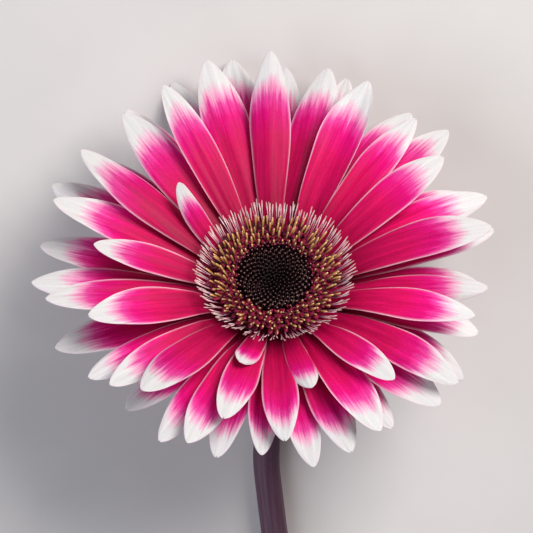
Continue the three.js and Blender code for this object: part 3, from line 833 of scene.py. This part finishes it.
def bracts(skin, row):
    """One row of narrow pointed scales that climb the cup, overlap at their edges and flare at its rim."""
    scales = Bundle()
    waist = shoulder - 2.2
    out, rim, top = row["out"], row["rim"], row["top"]
    for i in range(row["scales"]):
        angle = 2 * math.pi * (i + rng.uniform(-0.15, 0.15)) / row["scales"]
        lift = rng.uniform(-0.15, 0.15)
        reach = rng.uniform(-0.4, 0.4)
        path = [(STEM_RADIUS + 0.6 + out, receptacle_end + 0.4), (5.6 + out, receptacle_end + 1.9),
                (7.8 + out, receptacle_end + 3.7), (9.6 + out, waist - 0.5),
                (receptacle_radius + out * 0.9, waist + top * 0.4),
                (receptacle_radius + rim * 0.45 + lift, (waist + shoulder) / 2 + top * 0.8),
                (receptacle_radius + rim * 0.75 + lift, shoulder + top - 0.5 + reach * 0.5),
                (receptacle_radius + rim + lift, shoulder + top + reach)]
        line = [outwards(angle) * r + [0, 0, z + 0.1 * (i % 2)] for r, z in path]
        widths = [row["width"] * k for k in BRACT_WIDTHS]
        scales.leaf(line, sideways(angle), widths, BRACT_THICKNESS, rng.random())
    scales.piece(row["name"], skin, ["bracts"], "bract")


# ---- Stem ----
STEM_LENGTH = 300
# Sideways place of the stem where it lies flat: [share of that length, sideways].
STEM_SWAY = [
    [0, 1.9], [0.03, 1.1], [0.09, -0.8], [0.15, -2.7], [0.22, -5], [0.42, -12], [0.65, -18], [1, -22],
]
BEND_STEPS = 8
STEM_RINGS = 260
STEM_SIDES = 60
STEM_RIBS = 10
RIB_HEIGHT = 0.06
OUT_OF_ROUND = 0.03
# Rings of the cut end: [share of the radius, how far in from the cut].
CUT_RINGS = [(0.96, -0.12), (0.90, 0.0), (0.6, 0.25), (0.25, 0.6)]


def stem_line():
    """The stem's middle line, by the CAD model's rule: a bend at the neck, then flat with a slow sway."""
    drop = math.pi / 2 - FACE_LEAN
    reach = 2 * GAP - receptacle_end
    start_y = reach * math.cos(drop)
    start_z = HEAD[2] / MM - reach * math.sin(drop)
    bend = (start_z - STEM_RADIUS) / (1 - math.cos(drop))
    line = []
    for i in range(BEND_STEPS):
        slope = drop * (1 - i / BEND_STEPS)
        aside = STEM_SWAY[0][1] * (1 - math.cos(math.pi * i / BEND_STEPS)) / 2
        line.append((aside, start_y + bend * (math.sin(drop) - math.sin(slope)),
                     STEM_RADIUS + bend * (1 - math.cos(slope))))
    flat_start = start_y + bend * math.sin(drop)
    flat_length = STEM_LENGTH - bend * drop
    for share, aside in STEM_SWAY:
        line.append((aside, flat_start + share * flat_length, STEM_RADIUS))
    return np.array(line) * MM + np.array([HEAD[0], HEAD[1], 0])


def smooth_line(points, count):
    """Evenly spaced places on a Catmull-Rom curve through a few points."""
    padded = np.vstack([2 * points[0] - points[1], points, 2 * points[-1] - points[-2]])
    fine = []
    for before, start, end, after in zip(padded, padded[1:], padded[2:], padded[3:]):
        slope = end - before
        bend = 2 * before - 5 * start + 4 * end - after
        turn = 3 * start - before - 3 * end + after
        for t in np.linspace(0, 1, 24, endpoint=False):
            fine.append(0.5 * (2 * start + slope * t + bend * t ** 2 + turn * t ** 3))
    fine = np.array(fine + [points[-1]])
    walked = np.concatenate([[0], np.cumsum(np.linalg.norm(np.diff(fine, axis=0), axis=1))])
    wanted = np.linspace(0, walked[-1], count)
    return np.stack([np.interp(wanted, walked, fine[:, k]) for k in range(3)], 1)


def stalk():
    """The stalk: faintly ribbed, not quite round, and cut across at its end."""
    line = smooth_line(stem_line(), STEM_RINGS)
    ways = np.gradient(line, axis=0)
    ways /= np.linalg.norm(ways, axis=1)[:, None]
    points, faces, along, blade, cut = [], [], [], [], []
    level = np.array([1.0, 0, 0])
    for i in range(STEM_RINGS):
        share = i / (STEM_RINGS - 1)
        level = level - ways[i] * (level @ ways[i])
        level /= np.linalg.norm(level)
        other = np.cross(ways[i], level)
        for k in range(STEM_SIDES):
            turn = 2 * math.pi * k / STEM_SIDES
            rib = RIB_HEIGHT * math.cos(STEM_RIBS * turn + 0.8 * math.sin(share * 9))
            rib += OUT_OF_ROUND * math.cos(3 * turn + share * 5)
            radius = STEM_RADIUS - 0.07 + rib
            points.append(line[i] + radius * MM * (math.cos(turn) * level + math.sin(turn) * other))
            along.append(share)
            blade.append((radius * math.cos(turn), radius * math.sin(turn), share * STEM_LENGTH))
            cut.append(0.0)
    for i in range(STEM_RINGS - 1):
        for k in range(STEM_SIDES):
            a, b = i * STEM_SIDES + k, i * STEM_SIDES + (k + 1) % STEM_SIDES
            faces.append((a, b, b + STEM_SIDES, a + STEM_SIDES))
    faces.append(tuple(reversed(range(STEM_SIDES))))
    last = edge = (STEM_RINGS - 1) * STEM_SIDES
    for size, depth in CUT_RINGS:
        first = len(points)
        for k in range(STEM_SIDES):
            points.append(line[-1] - ways[-1] * depth * MM + (points[last + k] - line[-1]) * size)
            along.append(1.0)
            blade.append(tuple(np.array(blade[last + k]) * [size, size, 1]))
            cut.append(1.0 if size > 0.5 else 0.7)
        for k in range(STEM_SIDES):
            after = (k + 1) % STEM_SIDES
            faces.append((edge + k, edge + after, first + after, first + k))
        edge = first
    faces.append(tuple(edge + k for k in range(STEM_SIDES)))
    values = {"along": along, "blade": blade, "cut": cut}
    finished("stalk", points, faces, stalk_skin(), ["stem"], values)


# ---- Studio ----
CAMERA_ELEVATION = math.radians(85)
CAMERA_DISTANCE = 0.70
VIEW_WIDTH = 0.1268              # what the frame takes in, across, at the head
SENSOR = 36
# Where the camera aims, in millimetres: above the middle of the head, then left and up in the frame.
AIM_ABOVE = 5.6
AIM_LEFT = 1.9
AIM_UP = 2.0

# The lights' places from the head, in metres.
KEY_PLACE = (-0.40, -0.44, 0.56)
KEY_SIZE = 0.45
KEY_POWER = 8.7
KEY_COLOUR = "#fff6f0"
FILL_PLACE = (0.54, 0.22, 0.52)
FILL_SIZE = 0.70
FILL_POWER = 3.5
FILL_COLOUR = "#f2f5ff"
ROOM_COLOUR = "#f4f4f6"
ROOM_STRENGTH = 0.16
FLOOR_REACH = 3.0                # metres from the middle of the floor to its edges


def camera():
    """Looks almost straight down on the bloom, with the top of the bloom at the top of the frame."""
    toward = Vector((0, -math.cos(CAMERA_ELEVATION), math.sin(CAMERA_ELEVATION)))
    up = Vector((0, -math.sin(CAMERA_ELEVATION), -math.cos(CAMERA_ELEVATION)))
    right = up.cross(toward)
    aim = Vector(from_head([[0, 0, AIM_ABOVE]])[0]) - right * AIM_LEFT * MM + up * AIM_UP * MM
    data = bpy.data.cameras.new("camera")
    data.sensor_width = SENSOR
    data.lens = SENSOR * CAMERA_DISTANCE / VIEW_WIDTH
    data.clip_end = 20
    made = bpy.data.objects.new("camera", data)
    bpy.context.scene.collection.objects.link(made)
    made.location = aim + toward * CAMERA_DISTANCE
    made.rotation_mode = "QUATERNION"
    made.rotation_quaternion = Matrix((right, up, toward)).transposed().to_quaternion()
    bpy.context.scene.camera = made


def softbox(name, offset, size, power, colour):
    """A square soft light that faces the head."""
    data = bpy.data.lights.new(name, "AREA")
    data.size = size
    data.energy = power
    data.color = linear(colour)[:3]
    made = bpy.data.objects.new(name, data)
    bpy.context.scene.collection.objects.link(made)
    made.location = Vector(HEAD) + Vector(offset)
    made.rotation_mode = "QUATERNION"
    made.rotation_quaternion = (-Vector(offset)).to_track_quat("-Z", "Y")


def studio():
    """A pale card floor, a key light and a fill light, and a little light from all round."""
    mesh = bpy.data.meshes.new("floor")
    corners = [(-1, -1), (1, -1), (1, 1), (-1, 1)]
    mesh.from_pydata([(x * FLOOR_REACH, y * FLOOR_REACH, 0) for x, y in corners], [], [(0, 1, 2, 3)])
    mesh.materials.append(studio_card())
    floor = bpy.data.objects.new("floor", mesh)
    bpy.context.scene.collection.objects.link(floor)
    floor.location.z = cad_box[0][2]
    softbox("key_light", KEY_PLACE, KEY_SIZE, KEY_POWER, KEY_COLOUR)
    softbox("fill_light", FILL_PLACE, FILL_SIZE, FILL_POWER, FILL_COLOUR)
    world = bpy.data.worlds.new("studio")
    world.use_nodes = True
    background = world.node_tree.nodes["Background"]
    background.inputs["Color"].default_value = linear(ROOM_COLOUR)
    background.inputs["Strength"].default_value = ROOM_STRENGTH
    bpy.context.scene.world = world
    # The hex values show as they are written.
    bpy.context.scene.view_settings.view_transform = "Standard"


camera()
studio()
make_petals()
eye_buds()
disc_florets()
outer_stalks()
receptacle()
# Bract: tough leafy skin under a fine down, matt green that turns reddish at its point.
bract_skin = tissue("bract_skin", BRACT_STOPS, darkest=0.75, lightest=1.2, roughness=0.6,
                    grain=0.5, relief=0.1)
for bract_row in BRACT_ROWS:
    bracts(bract_skin, bract_row)
stalk()
